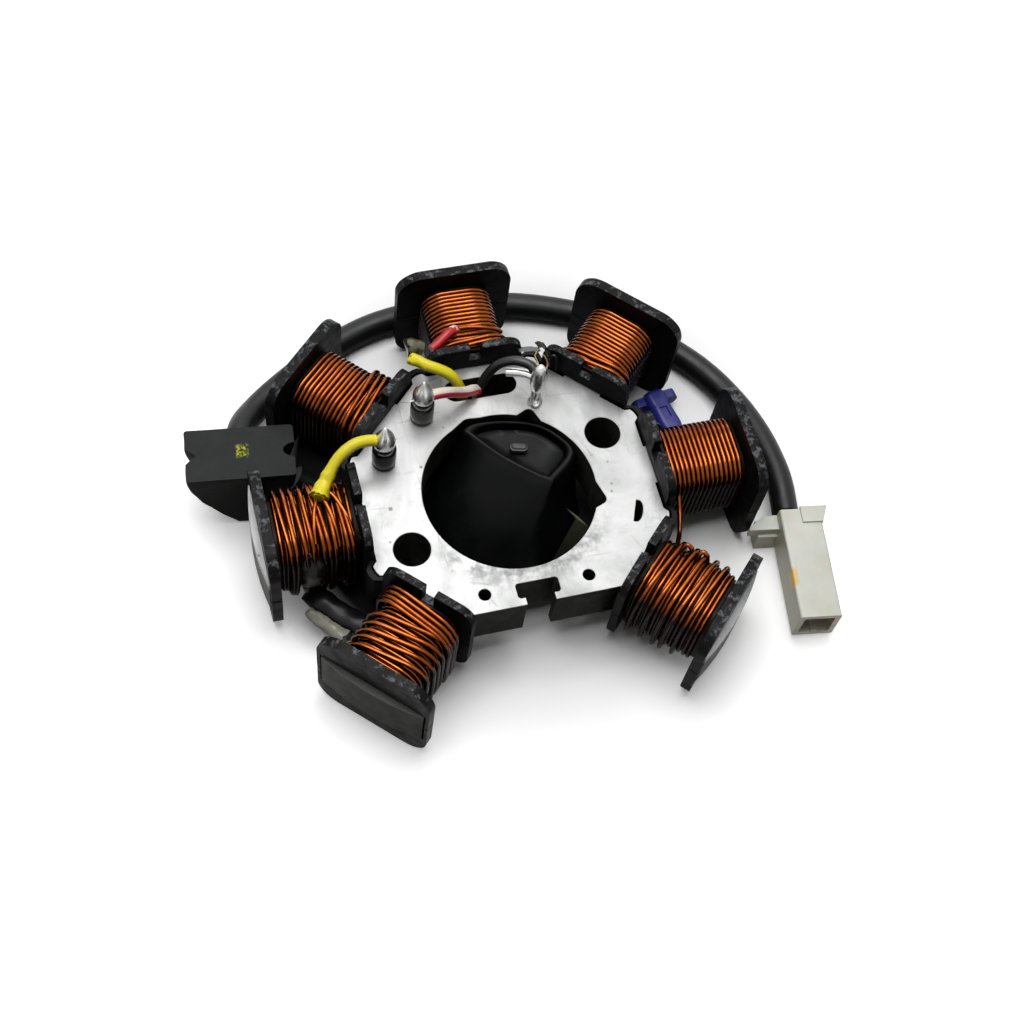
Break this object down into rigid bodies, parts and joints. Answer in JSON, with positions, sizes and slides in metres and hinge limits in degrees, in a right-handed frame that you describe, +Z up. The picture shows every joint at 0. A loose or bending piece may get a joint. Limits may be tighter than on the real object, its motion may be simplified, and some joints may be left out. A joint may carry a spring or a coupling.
{
  "type": "wound stator",
  "caption": "Flywheel alternator stator: laminated core, moulded bobbins, wound copper poles, soldered posts, harness cable with grommet and housings",
  "frame": {"origin": "on the floor, under the middle of the stator's own box (core, insulators, windings and terminals)", "axes": "+Z up along the bore axis, +X to the right along the widest side, +Y away from the empty pole position"},
  "size_m": [0.1092, 0.0873, 0.0269],
  "materials": {
    "core_steel": "satin, scratched",
    "insulator_plastic": "satin black, worn edges",
    "copper_wire": "enamelled",
    "post_plastic": "gloss",
    "solder": "bright",
    "yellow_lead": "satin",
    "white_lead": "satin",
    "black_lead": "satin",
    "red_sleeve": "satin",
    "blue_lead": "satin",
    "cable_sheath": "satin",
    "grommet_rubber": "matte",
    "connector_nylon": "milky satin",
    "terminal_metal": "satin",
    "blue_plastic": "satin",
    "pickup_plastic": "satin",
    "tip_metal": "satin",
    "bracket_steel": "satin"
  },
  "bodies": {
    "root": {"lamination_stack": "core_steel", "upper_insulator": "insulator_plastic", "lower_insulator": "insulator_plastic", "coil_1": "copper_wire", "coil_2": "copper_wire", "coil_3": "copper_wire", "coil_4": "copper_wire", "coil_5": "copper_wire", "coil_6": "copper_wire", "coil_7": "copper_wire", "terminal_post_1": "post_plastic", "terminal_post_2": "post_plastic", "solder_joint_1": "solder", "solder_joint_2": "solder", "solder_joint_3": "solder", "ground_pin": "solder", "yellow_lead_coil": "yellow_lead", "yellow_lead_harness": "yellow_lead", "white_lead": "white_lead", "black_lead": "black_lead", "red_sleeve": "red_sleeve", "blue_lead": "blue_lead", "pickup_lead": "black_lead", "harness_cable": "cable_sheath", "harness_stub": "cable_sheath", "cable_grommet": "grommet_rubber", "white_connector": "connector_nylon", "connector_terminal_1": "terminal_metal", "connector_terminal_2": "terminal_metal", "blue_connector": "blue_plastic", "pickup_body": "pickup_plastic", "pickup_pole_tip": "tip_metal", "pickup_bracket": "bracket_steel"}
  },
  "joints": []
}
